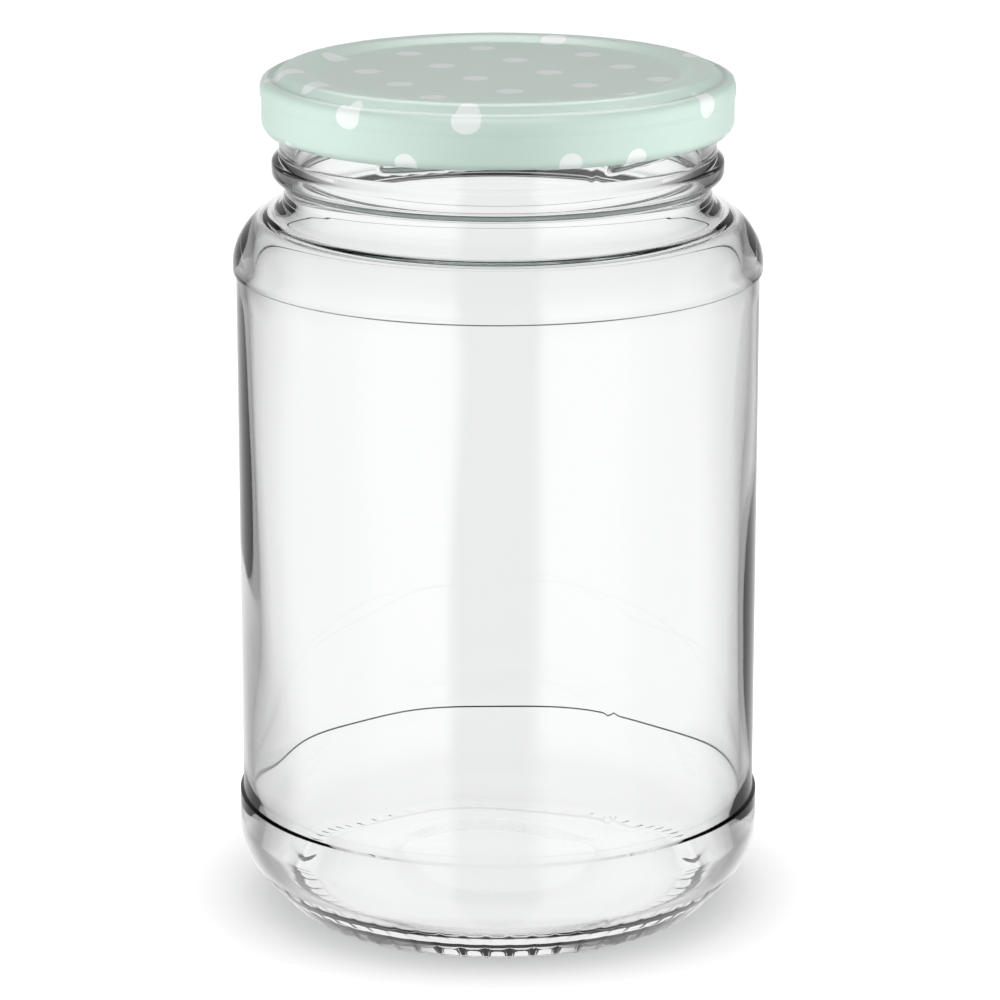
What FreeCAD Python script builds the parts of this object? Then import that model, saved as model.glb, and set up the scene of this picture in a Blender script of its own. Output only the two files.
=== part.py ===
"""Round glass jar with a wide mouth, closed by a pressed steel twist-off cap.

Millimetres, +Z up. The jar stands on z = 0 and its axis is the Z axis. Three pieces: the
glass jar, the cap and the ring of sealing compound between the cap and the jar's rim.
"""
import FreeCAD, Part
import Sketcher
import os

# ---------------------------------------------------------------- driving dimensions
SIZES = {
    # glass, outside: bearing ring and heel
    "bearing_inner_radius": 35.4,
    "bearing_outer_radius": 38.8,
    "toe_fillet": 1.2,
    "heel_height": 9.5,
    "heel_fillet": 11.4,
    # glass, outside: body, set back by a shallow step where the label goes
    "body_radius": 47.5,
    "label_setback": 0.6,
    "label_bottom": 20.8,
    "label_top": 117.25,
    "step_height": 0.4,
    # glass, outside: shoulder and neck
    "shoulder_height": 126.2,
    "shoulder_fillet": 10.4,
    "neck_radius": 38.25,
    "neck_height": 129.55,
    "neck_fillet": 2.2,
    # glass, outside: transfer bead and finish
    "bead_radius": 40.35,
    "bead_foot": 133.6,
    "bead_low": 134.7,
    "bead_high": 137.6,
    "bead_head": 138.9,
    "bead_fillet": 1.2,
    "finish_radius": 39.0,
    "rim_height": 152.6,
    "rim_fillet": 0.8,
    # glass, inside
    "bore_radius": 36.4,
    "bore_foot": 126.6,
    "bore_fillet": 5.0,
    "inner_radius": 44.3,
    "inner_shoulder": 124.9,
    "inner_shoulder_fillet": 7.2,
    "inner_heel": 10.8,
    "floor_edge_radius": 38.5,
    "floor_edge": 3.7,
    "inner_heel_fillet": 9.0,
    "floor_height": 6.0,
    "floor_radius": 20.5,
    # glass, underside: shallow push-up inside the bearing ring
    "pushup_height": 2.0,
    "pushup_radius": 18.0,
    "pushup_fillet": 5.0,
    # knurls across the bearing ring
    "knurl_count": 60,
    "knurl_inner_radius": 35.6,
    "knurl_outer_radius": 39.6,
    "knurl_width": 1.8,
    "knurl_depth": 0.9,
    # six interrupted threads
    "thread_count": 6,
    "thread_radius": 40.75,
    "thread_root": 38.6,
    "thread_low": 142.4,
    "thread_foot_half": 1.25,
    "thread_crest_half": 0.6,
    "thread_lead": 30.0,
    "thread_climb": 3.4,
    "thread_turn": -1.7,
    # steel cap
    "sheet": 0.25,
    "panel_radius": 32.4,
    "panel_height": 152.8,
    "crest_inner_radius": 35.0,
    "crest_outer_radius": 38.0,
    "crest_height": 153.85,
    "crest_round": 1.2,
    "crease_radius": 39.75,
    "crease_height": 152.1,
    "ridge_radius": 40.7,
    "ridge_height": 152.4,
    "skirt_radius": 42.2,
    "skirt_fillet": 1.4,
    "hem_bottom": 142.8,
    "hem_top": 144.6,
    "hem_width": 1.4,
    "hem_fillet": 0.6,
    "lug_inner_radius": 40.0,
    "lug_bottom": 142.9,
    "lug_top": 143.9,
    "lug_angle": 13.0,
    "lug_turn": 33.0,
    # ring of sealing compound
    "seal_inner_radius": 35.4,
    "seal_outer_radius": 38.4,
}

doc = FreeCAD.newDocument("jar")
sheet = doc.addObject("Spreadsheet::Sheet", "Sizes")
for row, (alias, number) in enumerate(SIZES.items(), start=1):
    sheet.set("A%d" % row, alias)
    sheet.set("B%d" % row, str(number))
    sheet.setAlias("B%d" % row, alias)
doc.recompute()


# ---------------------------------------------------------------- helpers
def size(words):
    """Put the sheet's name before every alias in an expression such as 'body_radius - sheet'."""
    return " ".join("Sizes." + word if word in SIZES else word for word in words.split())


def new_body(label):
    body = doc.addObject("PartDesign::Body", label)
    body.Label = label
    body.Placement = FreeCAD.Placement()
    return body


def origin_part(body, role):
    return next(item for item in body.Origin.OriginFeatures if item.Role == role)


def outline(body, name, plane, corners):
    """Closed outline of straight lines. Each corner is (name, across, up), both expressions."""
    sketch = body.newObject("Sketcher::SketchObject", name)
    sketch.AttachmentSupport = [(origin_part(body, plane), "")]
    sketch.MapMode = "FlatFace"
    count = len(corners)
    rough = [FreeCAD.Vector(10.0 + i, 5.0 + 0.3 * i * (count - i), 0) for i in range(count)]
    for i in range(count):
        sketch.addGeometry(Part.LineSegment(rough[i], rough[(i + 1) % count]), False)
    for i in range(count):
        sketch.addConstraint(Sketcher.Constraint("Coincident", i, 2, (i + 1) % count, 1))
    for i, (corner, across, up) in enumerate(corners):
        for kind, axis, words in (("DistanceX", "across", across), ("DistanceY", "up", up)):
            index = sketch.addConstraint(Sketcher.Constraint(kind, -1, 1, i, 1, 1.0 + i))
            sketch.renameConstraint(index, corner + "_" + axis)
            sketch.setExpression("Constraints." + corner + "_" + axis, size(words))
    doc.recompute()
    return sketch


def turned(body, name, sketch, angle=None):
    """Revolution of an outline about the body's Z axis, or a part turn centred on the outline."""
    solid = body.newObject("PartDesign::Revolution", name)
    solid.Profile = sketch
    solid.ReferenceAxis = (origin_part(body, "Z_Axis"), [""])
    solid.Angle = 360
    if angle:
        solid.setExpression("Angle", size(angle))
        solid.Midplane = True
    doc.recompute()
    return solid


def rounded(body, name, base, sketch, corners, radius):
    """Fillet of the rings that the named corners of an outline made in a turned solid."""
    names = [c.Name for c in sketch.Constraints]
    rings = []
    for corner in corners:
        across = sketch.Constraints[names.index(corner + "_across")].Value
        up = sketch.Constraints[names.index(corner + "_up")].Value
        for number, edge in enumerate(base.Shape.Edges, start=1):
            ring = isinstance(edge.Curve, Part.Circle)
            if not ring or abs(edge.Curve.Radius - across) > 1e-4:
                continue
            if abs(edge.Curve.Center.z - up) < 1e-4:
                rings.append("Edge%d" % number)
    fillet = body.newObject("PartDesign::Fillet", name)
    fillet.Base = (base, rings)
    fillet.setExpression("Radius", size(radius))
    doc.recompute()
    return fillet


def around(body, name, feature, count):
    """Polar pattern of one feature about the Z axis."""
    pattern = body.newObject("PartDesign::PolarPattern", name)
    pattern.Originals = [feature]
    pattern.Axis = (origin_part(body, "Z_Axis"), [""])
    pattern.Angle = 360
    pattern.setExpression("Occurrences", size(count))
    body.Tip = pattern
    doc.recompute()
    return pattern


# ---------------------------------------------------------------- glass jar
def make_jar():
    body = new_body("jar")
    section = outline(body, "jar_section", "XZ_Plane", [
        ("under_centre", "0", "pushup_height"),
        ("under_edge", "pushup_radius", "pushup_height"),
        ("toe_in", "bearing_inner_radius", "0"),
        ("toe_out", "bearing_outer_radius", "0"),
        ("heel", "body_radius", "heel_height"),
        ("step_low", "body_radius", "label_bottom - step_height"),
        ("label_low", "body_radius - label_setback", "label_bottom"),
        ("label_high", "body_radius - label_setback", "label_top"),
        ("step_high", "body_radius", "label_top + step_height"),
        ("shoulder", "body_radius", "shoulder_height"),
        ("neck", "neck_radius", "neck_height"),
        ("bead_foot", "neck_radius", "bead_foot"),
        ("bead_low", "bead_radius", "bead_low"),
        ("bead_high", "bead_radius", "bead_high"),
        ("bead_head", "finish_radius", "bead_head"),
        ("rim_out", "finish_radius", "rim_height"),
        ("rim_in", "bore_radius", "rim_height"),
        ("bore_foot", "bore_radius", "bore_foot"),
        ("inner_shoulder", "inner_radius", "inner_shoulder"),
        ("inner_heel", "inner_radius", "inner_heel"),
        ("floor_edge", "floor_edge_radius", "floor_edge"),
        ("floor_flat", "floor_radius", "floor_height"),
        ("floor_centre", "0", "floor_height"),
    ])
    solid = turned(body, "jar_turned", section)
    for name, corners, radius in (
        ("shoulder_round", ["shoulder"], "shoulder_fillet"),
        ("inner_shoulder_round", ["inner_shoulder"], "inner_shoulder_fillet"),
        ("neck_round", ["neck"], "neck_fillet"),
        ("bore_round", ["bore_foot"], "bore_fillet"),
        ("heel_round", ["heel"], "heel_fillet"),
        ("inner_heel_round", ["inner_heel", "floor_edge"], "inner_heel_fillet"),
        ("pushup_round", ["under_edge"], "pushup_fillet"),
        ("toe_round", ["toe_in", "toe_out"], "toe_fillet"),
        ("bead_round", ["bead_low", "bead_high"], "bead_fillet"),
        ("rim_round", ["rim_out", "rim_in"], "rim_fillet"),
    ):
        solid = rounded(body, name, solid, section, corners, radius)

    knurl = outline(body, "knurl_plan", "XY_Plane", [
        ("inner_right", "knurl_inner_radius", "- knurl_width / 2"),
        ("outer_right", "knurl_outer_radius", "- knurl_width / 2"),
        ("outer_left", "knurl_outer_radius", "knurl_width / 2"),
        ("inner_left", "knurl_inner_radius", "knurl_width / 2"),
    ])
    bar = body.newObject("PartDesign::Pad", "knurl")
    bar.Profile = knurl
    bar.setExpression("Length", size("knurl_depth"))
    doc.recompute()
    around(body, "knurls", bar, "knurl_count")

    thread = outline(body, "thread_section", "XZ_Plane", [
        ("foot_low", "thread_root", "thread_low - thread_foot_half"),
        ("crest_low", "thread_radius", "thread_low - thread_crest_half"),
        ("crest_high", "thread_radius", "thread_low + thread_crest_half"),
        ("foot_high", "thread_root", "thread_low + thread_foot_half"),
    ])
    thread.AttachmentOffset.Rotation.Axis = FreeCAD.Vector(0, 1, 0)
    thread.setExpression("AttachmentOffset.Rotation.Angle", size("thread_turn"))
    ridge = body.newObject("PartDesign::AdditiveHelix", "thread")
    ridge.Profile = thread
    ridge.ReferenceAxis = (origin_part(body, "Z_Axis"), [""])
    ridge.Mode = "pitch-height-angle"
    ridge.setExpression("Pitch", size("thread_lead"))
    ridge.setExpression("Height", size("thread_climb"))
    doc.recompute()
    around(body, "threads", ridge, "thread_count")
    return body


# ---------------------------------------------------------------- pressed steel cap
def make_lid():
    body = new_body("lid")
    section = outline(body, "lid_section", "XZ_Plane", [
        ("centre", "0", "panel_height"),
        ("panel", "panel_radius", "panel_height"),
        ("crest_in", "crest_inner_radius", "crest_height"),
        ("crest_out", "crest_outer_radius", "crest_height"),
        ("crease", "crease_radius", "crease_height"),
        ("ridge", "ridge_radius", "ridge_height"),
        ("corner", "skirt_radius", "ridge_height"),
        ("hem_out", "skirt_radius", "hem_bottom"),
        ("hem_in", "skirt_radius - hem_width", "hem_bottom"),
        ("hem_up", "skirt_radius - hem_width", "hem_top"),
        ("skirt_foot", "skirt_radius - sheet", "hem_top"),
        ("under_corner", "skirt_radius - sheet", "ridge_height - sheet"),
        ("under_ridge", "ridge_radius", "ridge_height - sheet"),
        ("under_crease", "crease_radius - sheet / 4", "crease_height - sheet"),
        ("under_crest_out", "crest_outer_radius - sheet / 4", "crest_height - sheet"),
        ("under_crest_in", "crest_inner_radius + sheet / 4", "crest_height - sheet"),
        ("under_panel", "panel_radius + sheet / 4", "panel_height - sheet"),
        ("under_centre", "0", "panel_height - sheet"),
    ])
    solid = turned(body, "lid_turned", section)
    for name, corners, radius in (
        ("skirt_round", ["corner"], "skirt_fillet"),
        ("under_skirt_round", ["under_corner"], "skirt_fillet - sheet"),
        ("hem_round", ["hem_out"], "hem_fillet"),
        ("crest_rounds", ["panel", "crest_in", "crest_out"], "crest_round"),
    ):
        solid = rounded(body, name, solid, section, corners, radius)

    lug_section = outline(body, "lug_section", "XZ_Plane", [
        ("low_in", "lug_inner_radius", "lug_bottom"),
        ("low_out", "skirt_radius - hem_width / 2", "lug_bottom"),
        ("high_out", "skirt_radius - hem_width / 2", "lug_top"),
        ("high_in", "lug_inner_radius", "lug_top"),
    ])
    lug_section.AttachmentOffset.Rotation.Axis = FreeCAD.Vector(0, 1, 0)
    lug_section.setExpression("AttachmentOffset.Rotation.Angle", size("lug_turn"))
    lug = turned(body, "lug", lug_section, "lug_angle")
    around(body, "lugs", lug, "thread_count")
    return body


# ---------------------------------------------------------------- sealing compound
def make_seal():
    """Ring that fills the channel under the cap's crest, down onto the glass rim."""
    fall = ("( crest_height - crease_height )"
            " / ( crease_radius - crest_outer_radius )")
    body = new_body("seal")
    section = outline(body, "seal_section", "XZ_Plane", [
        ("low_in", "seal_inner_radius", "rim_height"),
        ("low_out", "seal_outer_radius", "rim_height"),
        ("high_out", "seal_outer_radius", "crest_height - sheet - " + fall
            + " * ( seal_outer_radius - crest_outer_radius + sheet / 4 )"),
        ("crest_out", "crest_outer_radius - sheet / 4", "crest_height - sheet"),
        ("high_in", "seal_inner_radius", "crest_height - sheet"),
    ])
    turned(body, "seal_turned", section)
    return body


# ---------------------------------------------------------------- build, check and write
bodies = [make_jar(), make_lid(), make_seal()]
doc.recompute()

faults = [item.Name for item in doc.Objects if {"Invalid", "Error"} & set(item.State)]
if faults:
    raise RuntimeError("failed objects: " + ", ".join(faults))

os.makedirs("parts", exist_ok=True)
for body in bodies:
    shape = body.Shape
    if shape.isNull() or not shape.isValid() or len(shape.Solids) != 1:
        raise RuntimeError(body.Label + " is not one valid solid")
    box = shape.optimalBoundingBox(False, False)
    print("%-5s volume %9.1f mm3   radius %6.2f   z %7.2f to %7.2f"
          % (body.Label, shape.Volume, box.XMax, box.ZMin, box.ZMax))
    shape.exportStep("parts/" + body.Label + ".step")
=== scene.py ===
"""Round glass food jar, standing closed and empty under its dotted steel twist-off cap.

Metres, +Z up, the jar's foot on z = 0. Azimuths run anticlockwise from +X; the front is -Y.
"""
import bpy
import bmesh
from math import atan2, cos, degrees, pi, radians, sin, sqrt, tan
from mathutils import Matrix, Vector


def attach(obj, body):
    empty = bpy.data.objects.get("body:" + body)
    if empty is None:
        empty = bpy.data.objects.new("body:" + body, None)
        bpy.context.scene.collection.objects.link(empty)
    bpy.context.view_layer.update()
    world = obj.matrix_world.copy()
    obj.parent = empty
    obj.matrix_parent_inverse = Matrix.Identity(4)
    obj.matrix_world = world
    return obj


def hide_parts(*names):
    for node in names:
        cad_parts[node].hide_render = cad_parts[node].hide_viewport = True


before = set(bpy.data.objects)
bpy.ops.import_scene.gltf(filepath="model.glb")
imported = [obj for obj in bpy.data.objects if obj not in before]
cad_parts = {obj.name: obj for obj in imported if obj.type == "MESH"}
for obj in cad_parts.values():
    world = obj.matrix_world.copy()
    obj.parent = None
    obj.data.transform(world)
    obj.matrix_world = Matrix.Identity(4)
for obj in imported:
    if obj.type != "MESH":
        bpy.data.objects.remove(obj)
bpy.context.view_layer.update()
nodes = {o.name: o for o in bpy.data.objects if o.type == "MESH"}


# ================================================================ glass jar
# Blown in a two-part mould from clear soda-lime glass and fire polished: rim, finish with six
# interrupted threads, transfer bead, neck, shoulder, a label panel set back between two steps,
# heel and a knurled ring to stand on. The inside never touched a mould, so it is slightly wavy.
MM = 0.001
ARC_STEP = 0.9


def profile(corners, longest=None):
    """Wire through the corners (radius, height, rounding) in mm, each corner rounded by a bevel."""
    bm = bmesh.new()
    verts = [bm.verts.new((r * MM, 0, z * MM)) for r, z, _ in corners]
    for a, b in zip(verts, verts[1:]):
        bm.edges.new((a, b))
    for i, (vert, (r, z, rounding)) in enumerate(zip(verts, corners)):
        if not rounding or i in (0, len(corners) - 1):
            continue
        before = Vector((corners[i - 1][0] - r, 0, corners[i - 1][1] - z))
        after = Vector((corners[i + 1][0] - r, 0, corners[i + 1][1] - z))
        half = before.angle(after) / 2
        steps = max(2, min(12, round((pi - 2 * half) * rounding / ARC_STEP)))
        bmesh.ops.bevel(bm, geom=[vert], offset=rounding * MM / tan(half), segments=steps,
                        profile=0.5, affect="VERTICES", material=-1)
    for edge in list(bm.edges):
        if longest and edge.calc_length() > longest * MM * 1.5:
            bmesh.ops.subdivide_edges(bm, edges=[edge],
                                      cuts=round(edge.calc_length() / (longest * MM)) - 1)
    return bm


def lathe(bm, turns):
    """Spin the wire a full turn about the Z axis and close it."""
    bmesh.ops.spin(bm, geom=bm.verts[:] + bm.edges[:], cent=(0, 0, 0), axis=(0, 0, 1),
                   angle=2 * pi, steps=turns, use_merge=True)
    bmesh.ops.remove_doubles(bm, verts=bm.verts, dist=1e-6)
    bmesh.ops.recalc_face_normals(bm, faces=bm.faces)
    return bm


def piece(name, bm, node):
    """Make the bmesh an object that stands for a solid of the frame and rides with it."""
    mesh = bpy.data.meshes.new(name)
    for face in bm.faces:
        face.smooth = True
    bm.to_mesh(mesh)
    bm.free()
    made = bpy.data.objects.new(name, mesh)
    bpy.context.scene.collection.objects.link(made)
    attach(made, "root")
    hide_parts(node)
    return made


def ease(x):
    """Smooth step from 0 to 1 as x goes from 0 to 1."""
    x = min(1.0, max(0.0, x))
    return x * x * (3 - 2 * x)


def turn_between(a, b):
    """Signed difference of two azimuths in degrees, from -180 to 180."""
    return (a - b + 180) % 360 - 180


glass_outside = [
    (0, 2.0, 0), (18, 2.0, 5), (35.2, 0.2, 1.2), (38.9, 0.35, 2.0),
    (47.5, 9.6, 11.2), (47.5, 20.4, 0.15), (46.9, 20.78, 0.15),
    (46.9, 117.27, 0.15), (47.5, 117.65, 0.15), (47.5, 126.2, 10.4),
    (38.25, 129.55, 2.2), (38.25, 133.6, 0.7), (40.35, 134.7, 1.2), (40.35, 137.6, 1.2),
    (39, 138.9, 0.6), (39, 148, 0), (39, 152.6, 0.8),
]
glass_inside = [
    (36.4, 152.6, 0.8), (36.4, 126.6, 5.0), (44.3, 124.9, 7.2),
    (44.3, 10.8, 9.0), (38.5, 3.7, 9.0), (20.5, 6.0, 12), (0, 6.0, 0),
]
bm = profile(glass_outside + glass_inside)
for low, high, step in ((139, 148.2, 0.45), (22, 117, 4.5), (14, 123, 4.5)):
    for edge in list(bm.edges):
        ends = sorted(v.co.z / MM for v in edge.verts)
        middle = sum(ends) / 2
        if low - 0.5 < middle < high + 0.5 and ends[1] - ends[0] > step * 1.5:
            cuts = round((ends[1] - ends[0]) / step) - 1
            bmesh.ops.subdivide_edges(bm, edges=[edge], cuts=cuts)
lathe(bm, 480)

THREADS, THREAD_START, THREAD_LOW, THREAD_LEAD, THREAD_ARC = 6, -1.7, 142.4, 30.0, 40.8
THREAD_PROUD, THREAD_FLAT, THREAD_FLANK, THREAD_RUN_OUT = 1.75, 0.45, 0.95, 3.5
KNURL_TURN, KNURL_CIRCLE, KNURL_DEEP, KNURL_FLAT, KNURL_FLANK = 6, 37.6, 0.6, 0.25, 0.75
SWELLS = ((0.16, 3, 1.3, 40), (0.12, 5, -2.1, 0), (0.08, 9, 3.7, 110))
SWELL_LOW, SWELL_HIGH, SWELL_FADE = 14, 124, 12
SEAMS, SEAM_HALF, SEAM_PROUD = (-65.2, 114.8), 0.9, 0.06
for vert in bm.verts:
    x, y, z = (c / MM for c in vert.co)
    radius, azimuth = sqrt(x * x + y * y), degrees(atan2(y, x))
    if radius < 0.01:
        continue
    grow, lift = 0.0, 0.0
    outside = radius > 45.5 or (z > 128 and radius > 37.7) or (z > 120 and radius > 45)
    if 138.8 < z < 149 and radius > 38.8:
        along = (azimuth - THREAD_START) % (360 / THREADS)
        centre = THREAD_LOW + along / 360 * THREAD_LEAD
        ends = ease(along / THREAD_RUN_OUT) * ease((THREAD_ARC - along) / THREAD_RUN_OUT)
        grow += THREAD_PROUD * ends * (1 - ease((abs(z - centre) - THREAD_FLAT) / THREAD_FLANK))
    if z < 2.0 and 35.0 < radius < 40.6:
        across = abs(turn_between(azimuth % KNURL_TURN, KNURL_TURN / 2)) / 360 * 2 * pi * radius
        bead = sqrt(across ** 2 + (0.6 * (radius - KNURL_CIRCLE)) ** 2)
        lift -= KNURL_DEEP * (1 - ease((bead - KNURL_FLAT) / KNURL_FLANK))
    if not outside and SWELL_LOW < z < SWELL_HIGH and radius > 43:
        fade = ease((z - SWELL_LOW) / SWELL_FADE) * ease((SWELL_HIGH - z) / SWELL_FADE)
        grow += fade * sum(deep * sin(radians(turns * azimuth + slant * z + shift))
                           for deep, turns, slant, shift in SWELLS)
    if outside:
        for seam in SEAMS:
            off = abs(turn_between(azimuth, seam)) / 360 * 2 * pi * radius
            if off < SEAM_HALF:
                grow += SEAM_PROUD * (1 - ease(off / SEAM_HALF))
    vert.co.x *= (radius + grow) / radius
    vert.co.y *= (radius + grow) / radius
    vert.co.z = max(0.0, vert.co.z + lift * MM)

jar = piece("jar_glass", bm, "jar")


class Sock:
    """A socket or a number that takes part in shader arithmetic."""

    def __init__(self, tree, out):
        self.tree, self.out = tree, out

    def node(self, kind, setting=None, **inputs):
        """Any node: its type, its settings, then the values or links of its sockets."""
        made = self.tree.nodes.new(kind)
        for key, value in (setting or {}).items():
            setattr(made, key, value)
        for key, value in inputs.items():
            spot = made.inputs[int(key[1:]) if key[0] == "_" else key.replace("_", " ")]
            if isinstance(value, Sock):
                self.tree.links.new(value.out, spot)
            else:
                spot.default_value = value
        return made

    def math(self, operation, *values):
        """A Math node on these values; gives its result."""
        made = self.node("ShaderNodeMath", {"operation": operation},
                         **{"_%d" % i: value for i, value in enumerate(values)})
        return Sock(self.tree, made.outputs[0])

    def __add__(self, other):
        return self.math("ADD", self, other)

    def __radd__(self, other):
        return self.math("ADD", other, self)

    def __sub__(self, other):
        return self.math("SUBTRACT", self, other)

    def __rsub__(self, other):
        return self.math("SUBTRACT", other, self)

    def __mul__(self, other):
        return self.math("MULTIPLY", self, other)

    def __rmul__(self, other):
        return self.math("MULTIPLY", other, self)

    def __truediv__(self, other):
        return self.math("DIVIDE", self, other)

    def __rtruediv__(self, other):
        return self.math("DIVIDE", other, self)

    def step(self, low, high):
        """Smooth step of this value between two others."""
        made = self.node("ShaderNodeMapRange", {"interpolation_type": "SMOOTHSTEP"},
                         Value=self, From_Min=low, From_Max=high)
        return Sock(self.tree, made.outputs[0])


def finish(name):
    """An empty material with its output; gives the material, a socket maker and the output."""
    made = bpy.data.materials.new(name)
    made.use_nodes = True
    made.node_tree.nodes.clear()
    start = Sock(made.node_tree, None)
    return made, start, start.node("ShaderNodeOutputMaterial")


def srgb(r, g, b):
    """Linear colour of 8-bit sRGB values."""
    def curve(c):
        c /= 255
        return c / 12.92 if c < 0.04045 else ((c + 0.055) / 1.055) ** 2.4
    return (curve(r), curve(g), curve(b), 1)


def wear(obj, material):
    """Give the object this material alone."""
    obj.data.materials.clear()
    obj.data.materials.append(material)


clear_glass, n, out = finish("clear_glass")
place = Sock(n.tree, n.node("ShaderNodeTexCoord").outputs["Object"])
waves = n.node("ShaderNodeTexNoise", Vector=place, Scale=38.0, Detail=1.0, Roughness=0.4)
ripple = n.node("ShaderNodeBump", Strength=0.12, Distance=0.0006,
                Height=Sock(n.tree, waves.outputs[0]))
body = n.node("ShaderNodeBsdfPrincipled", Base_Color=(0.985, 0.992, 0.988, 1), Roughness=0.0,
              IOR=1.5, Transmission_Weight=1.0, Normal=Sock(n.tree, ripple.outputs[0]))
passing = n.node("ShaderNodeBsdfTransparent", Color=(0.93, 0.94, 0.935, 1))
light = n.node("ShaderNodeLightPath")
mixed = n.node("ShaderNodeMixShader", _0=Sock(n.tree, light.outputs["Is Shadow Ray"]),
               _1=Sock(n.tree, body.outputs[0]), _2=Sock(n.tree, passing.outputs[0]))
n.tree.links.new(mixed.outputs[0], out.inputs["Surface"])
wear(jar, clear_glass)


# ================================================================ steel cap
# Stamped from tinplate, enamelled and printed flat with a lattice of dots, then drawn: a sunk
# panel, a raised ring over the jar's rim, a rounded corner, the skirt and a curled hem with
# six lugs pressed inwards under the threads. The inside has the same enamel.
outer_side = [
    (0, 152.75, 0), (32.2, 152.75, 3.0), (34.8, 153.75, 3.0), (36.6, 153.85, 4.0),
    (38.2, 153.7, 1.6), (39.75, 152.1, 0.5), (40.7, 152.42, 0.5), (42.25, 152.15, 1.5),
    (42.25, 149.4, 1.0), (42.0, 148.5, 1.0), (42.0, 144.0, 1.4), (41.1, 142.8, 0.5),
]
curl = [(40.75, 142.8, 0.15), (40.75, 144.1, 0.3), (41.3, 144.4, 0.2)]
inner_side = [
    (41.75, 145.2, 1.0), (41.75, 148.6, 0.8), (42.0, 149.5, 0.8), (42.0, 151.93, 1.2),
    (40.7, 152.16, 0.4), (39.6, 151.85, 0.4), (38.05, 153.45, 1.3), (36.6, 153.6, 3.5),
    (34.9, 153.5, 2.6), (32.25, 152.5, 2.6), (0, 152.5, 0),
]
bm = profile(outer_side + curl + inner_side, longest=2.5)
lathe(bm, 360)

HEM_TOP, HEM_INSIDE = 144.6, (40.5, 41.2)
LUG_START, LUG_HALF, LUG_DEEP, LUG_RUN_OUT = 33.0, 6.5, 0.95, 3.0
for vert in bm.verts:
    x, y, z = (c / MM for c in vert.co)
    radius, azimuth = sqrt(x * x + y * y), degrees(atan2(y, x))
    if z > HEM_TOP or not HEM_INSIDE[0] <= radius < HEM_INSIDE[1]:
        continue
    off = abs(turn_between(azimuth * THREADS, LUG_START * THREADS)) / THREADS
    lug = 1 - ease((off - LUG_HALF + LUG_RUN_OUT / 2) / LUG_RUN_OUT)
    pull = radius - LUG_DEEP * lug
    vert.co.x *= pull / radius
    vert.co.y *= pull / radius

CREST_FOOT, CREST_SPREAD = 36, 0.55
SKIRT_TOP, SKIRT_SPREAD, SKIRT_FROM = 151.3, 1.18, 39.1
flat = bm.loops.layers.uv.new("flat_sheet")
for face in bm.faces:
    for loop in face.loops:
        x, y, z = loop.vert.co / MM
        radius = max(1e-6, sqrt(x * x + y * y))
        spread = min(radius, CREST_FOOT + CREST_SPREAD * (radius - CREST_FOOT))
        if z < 152.2 and radius > 40.5:
            spread = max(spread, SKIRT_FROM + SKIRT_SPREAD * (SKIRT_TOP - z))
        scale = spread / radius
        loop[flat].uv = (x * scale, y * scale)
cap = piece("cap", bm, "lid")

enamel, n, out = finish("lid_enamel")
uv = n.node("ShaderNodeUVMap", {"uv_map": "flat_sheet"})
DOT_PITCH, DOT_TURN, DOT_AT, DOT_WIDE, DOT_SOFT = 14.5, 0.4326, (9.16, -0.3), 4.75, 0.12
laid = n.node("ShaderNodeMapping", {"vector_type": "TEXTURE"},
              Vector=Sock(n.tree, uv.outputs[0]), Location=(DOT_AT[0], DOT_AT[1], 0),
              Rotation=(0, 0, DOT_TURN), Scale=(DOT_PITCH, DOT_PITCH, 1))
parts = n.node("ShaderNodeSeparateXYZ", Vector=Sock(n.tree, laid.outputs[0]))
across, along = (n.math("PINGPONG", Sock(n.tree, parts.outputs[i]), 0.5) for i in (0, 1))
far = n.math("SQRT", across * across + along * along)
dots = 1 - far.step((DOT_WIDE / 2 - DOT_SOFT) / DOT_PITCH, (DOT_WIDE / 2 + DOT_SOFT) / DOT_PITCH)
place = Sock(n.tree, n.node("ShaderNodeTexCoord").outputs["Object"])
cloud = n.node("ShaderNodeTexNoise", Vector=place, Scale=60.0, Detail=3.0)
mottle = Sock(n.tree, cloud.outputs[0])
ground = n.node("ShaderNodeMix", {"data_type": "RGBA"}, _0=mottle,
                _6=srgb(196, 216, 207), _7=srgb(200, 220, 211))
printed = n.node("ShaderNodeMix", {"data_type": "RGBA"}, _0=dots,
                 _6=Sock(n.tree, ground.outputs[2]), _7=srgb(230, 237, 234))
grain = n.node("ShaderNodeTexNoise", Vector=place, Scale=900.0, Detail=2.0)
skin = n.node("ShaderNodeBump", Strength=0.04, Distance=0.0002,
              Height=Sock(n.tree, grain.outputs[0]))
coat = n.node("ShaderNodeBsdfPrincipled", Base_Color=Sock(n.tree, printed.outputs[2]),
              Roughness=0.34 + mottle * 0.04, IOR=1.4, Normal=Sock(n.tree, skin.outputs[0]))
n.tree.links.new(coat.outputs[0], out.inputs["Surface"])
wear(cap, enamel)


# ================================================================ sealing compound
# A ring of soft pale compound, flowed into the channel under the cap's raised ring and cured
# there. The jar's rim presses into it and closes the jar.
compound, n, out = finish("sealing_compound")
place = Sock(n.tree, n.node("ShaderNodeTexCoord").outputs["Object"])
cloud = n.node("ShaderNodeTexNoise", Vector=place, Scale=220.0, Detail=2.0)
mottle = Sock(n.tree, cloud.outputs[0])
shade = n.node("ShaderNodeMix", {"data_type": "RGBA"}, _0=mottle,
               _6=srgb(226, 226, 221), _7=srgb(236, 236, 232))
dimple = n.node("ShaderNodeBump", Strength=0.1, Distance=0.0002, Height=mottle)
soft = n.node("ShaderNodeBsdfPrincipled", Base_Color=Sock(n.tree, shade.outputs[2]),
              Roughness=0.55, Normal=Sock(n.tree, dimple.outputs[0]))
n.tree.links.new(soft.outputs[0], out.inputs["Surface"])
seal = next(o for name, o in nodes.items() if name.startswith("seal"))
wear(seal, compound)


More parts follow.
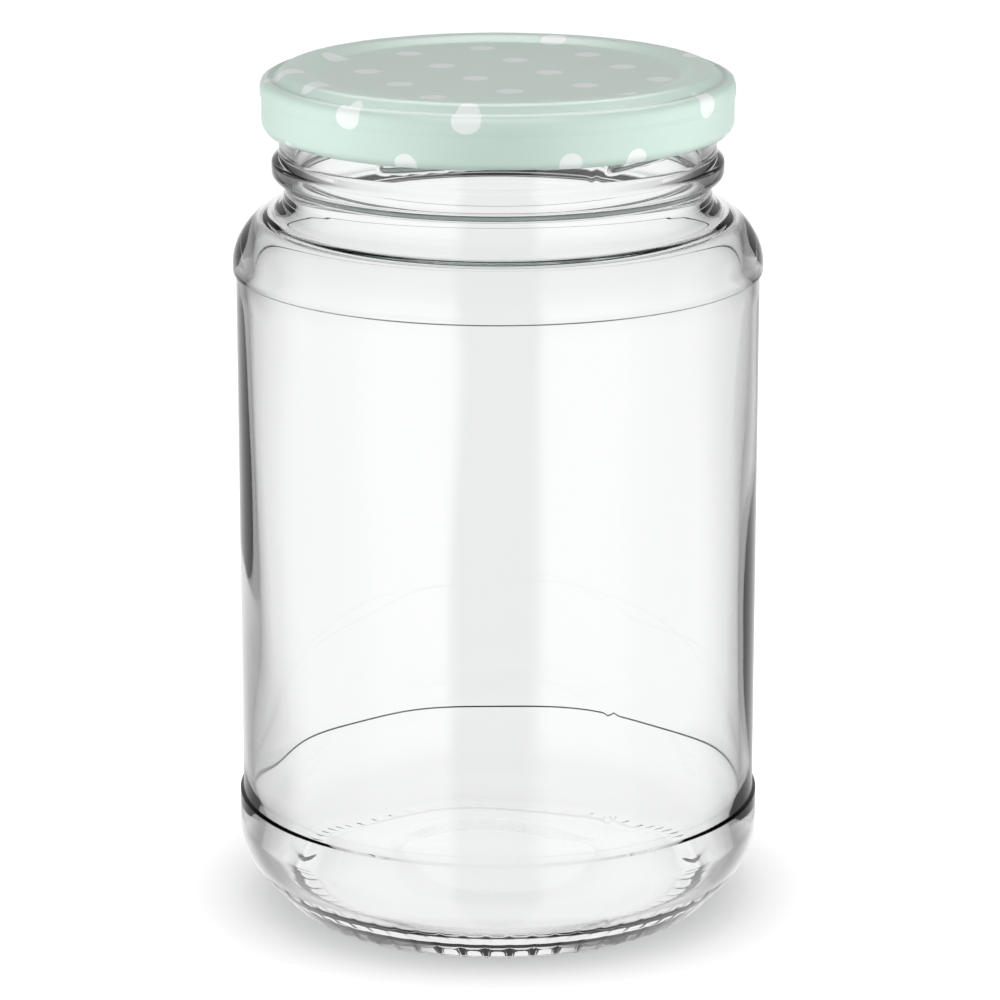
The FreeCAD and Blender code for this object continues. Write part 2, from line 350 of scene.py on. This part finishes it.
# ================================================================ floor and light
# A seamless white floor, glowing white to the camera, with a painted contact shadow where ambient
# occlusion darkens that glow near the jar; and a studio of white walls with darker gaps between
# them, so that the glass shows its edges. The floor is left out of what the glass sees.
bm = bmesh.new()
bmesh.ops.create_grid(bm, x_segments=2, y_segments=2, size=60)
mesh = bpy.data.meshes.new("floor")
bm.to_mesh(mesh)
bm.free()
floor = bpy.data.objects.new("floor", mesh)
bpy.context.scene.collection.objects.link(floor)
floor.location.z = -0.0001
floor.visible_glossy = False
floor.visible_transmission = False
paper, n, out = finish("floor_white")
# Painted contact shadow: ambient occlusion near the jar darkens the floor's glow, squared below.
contact_shadow_ao = n.node("ShaderNodeAmbientOcclusion", {"samples": 8}, Distance=0.04)
painted_contact_shadow = Sock(n.tree, contact_shadow_ao.outputs["AO"])
seen = Sock(n.tree, n.node("ShaderNodeLightPath").outputs["Is Camera Ray"])
diffuse = n.node("ShaderNodeBsdfDiffuse", Color=(0.85, 0.85, 0.85, 1))
FLOOR_GLOW = 0.92
glow = n.node("ShaderNodeEmission", Color=(1, 1, 1, 1), Strength=seen * painted_contact_shadow * painted_contact_shadow * FLOOR_GLOW)
both = n.node("ShaderNodeAddShader", _0=Sock(n.tree, diffuse.outputs[0]),
              _1=Sock(n.tree, glow.outputs[0]))
n.tree.links.new(both.outputs[0], out.inputs["Surface"])
wear(floor, paper)

world = bpy.data.worlds.new("studio")
bpy.context.scene.world = world
world.use_nodes = True
world.node_tree.nodes.clear()
n = Sock(world.node_tree, None)
out = n.node("ShaderNodeOutputWorld")
aim = Sock(n.tree, n.node("ShaderNodeTexCoord").outputs["Generated"])
parts = n.node("ShaderNodeSeparateXYZ", Vector=aim)
dx, dy, dz = (Sock(n.tree, parts.outputs[i]) for i in range(3))
# Degrees from the middle of the back wall, round either side, and above the horizon.
side = n.math("ABSOLUTE", n.math("ARCTAN2", dx, dy) * (180 / pi))
rise = n.math("ARCSINE", dz) * (180 / pi)
walls = n.node("ShaderNodeValToRGB", _0=side / 180.0)
ramp = walls.color_ramp
# Back wall, dark gap, side wall, front wall, and the dark gap where the camera stands.
WALLS = ((0, 0.97), (11, 0.95), (20, 0.75), (30, 0.5), (38, 0.36), (50, 0.4), (62, 0.7),
         (76, 0.98), (112, 1.0), (122, 1.2), (157, 1.2), (163, 0.25), (180, 0.25))
for at, value in WALLS:
    stop = {0: ramp.elements[0], 180: ramp.elements[-1]}.get(at) or ramp.elements.new(at / 180)
    stop.color = (value, value, value, 1)
wall = Sock(n.tree, walls.outputs[0])
beside = side.step(8, 16)
wall = wall * (1 - beside * rise.step(-13, 0) * 0.5) * (1 - beside * rise.step(8, 30) * 0.92)
wall = wall * (1 - (1 - beside) * rise.step(14, 50) * 0.75) * (1 - rise.step(44, 52))
table = 1 - rise.step(-50, -22)
# Straight down the studio is darker: a painted shadow of the jar on the floor beneath it, which the
# glass sees in place of the floor.
painted_jar_shadow = 1 - rise.step(-66, -58)
level = wall * (1 - table * 0.6) + table * 0.57 - painted_jar_shadow * 0.5
seen = Sock(n.tree, n.node("ShaderNodeLightPath").outputs["Is Camera Ray"])
sky = n.node("ShaderNodeBackground", Color=(1, 1, 1, 1),
             Strength=level * (1 - seen) + seen)
n.tree.links.new(sky.outputs[0], out.inputs["Surface"])


def softbox(name, azimuth, lift, width, height, share=0.0, sheen=0.0):
    """Area lamp a metre off, aimed at the jar's neck.

    With a share it adds no gloss and gives a facing surface this share of white. With a sheen
    it lights only the cap's gloss, at that radiance.
    """
    lamp = bpy.data.lights.new(name, "AREA")
    lamp.shape, lamp.size, lamp.size_y = "RECTANGLE", width, height
    lamp.energy = share * pi * pi
    made = bpy.data.objects.new(name, lamp)
    bpy.context.scene.collection.objects.link(made)
    away = Vector((cos(radians(azimuth)) * cos(radians(lift)),
                   sin(radians(azimuth)) * cos(radians(lift)), sin(radians(lift))))
    made.location = LAMP_TARGET + away
    made.rotation_euler = away.to_track_quat("Z", "Y").to_euler()
    made.visible_camera = made.visible_glossy = made.visible_transmission = False
    if sheen:
        lamp.energy = sheen * pi * width * height
        made.visible_glossy, made.visible_diffuse = True, False
        made.light_linking.receiver_collection = cap_alone


LAMP_TARGET = Vector((0, 0, 0.11))
cap_alone = bpy.data.collections.new("cap_alone")
cap_alone.objects.link(cap)
softbox("left_box", 185, 12, 0.5, 0.7, share=0.80)
softbox("right_box", -5, 12, 0.5, 0.7, share=0.80)
softbox("front_box", -90, 20, 0.8, 0.4, share=0.46)
softbox("top_sheen", -90, 60, 1.1, 0.8, sheen=4.5)
softbox("back_sheen", 90, 62, 1.1, 0.7, sheen=7.0)


# ================================================================ camera
# A long lens a little above the jar, square to its front.
CAMERA_TARGET, CAMERA_LIFT, CAMERA_AWAY = Vector((0.00036, 0, 0.0742)), 15.1, 0.820
lens = bpy.data.cameras.new("camera")
lens.lens = 162.4
lens.sensor_width = 36
lens.clip_end = 200
camera = bpy.data.objects.new("camera", lens)
bpy.context.scene.collection.objects.link(camera)
lift = radians(CAMERA_LIFT)
back = Vector((0, -cos(lift), sin(lift)))
camera.location = CAMERA_TARGET + back * CAMERA_AWAY
camera.rotation_euler = back.to_track_quat("Z", "Y").to_euler()
bpy.context.scene.camera = camera
bpy.context.scene.view_settings.view_transform = "Standard"
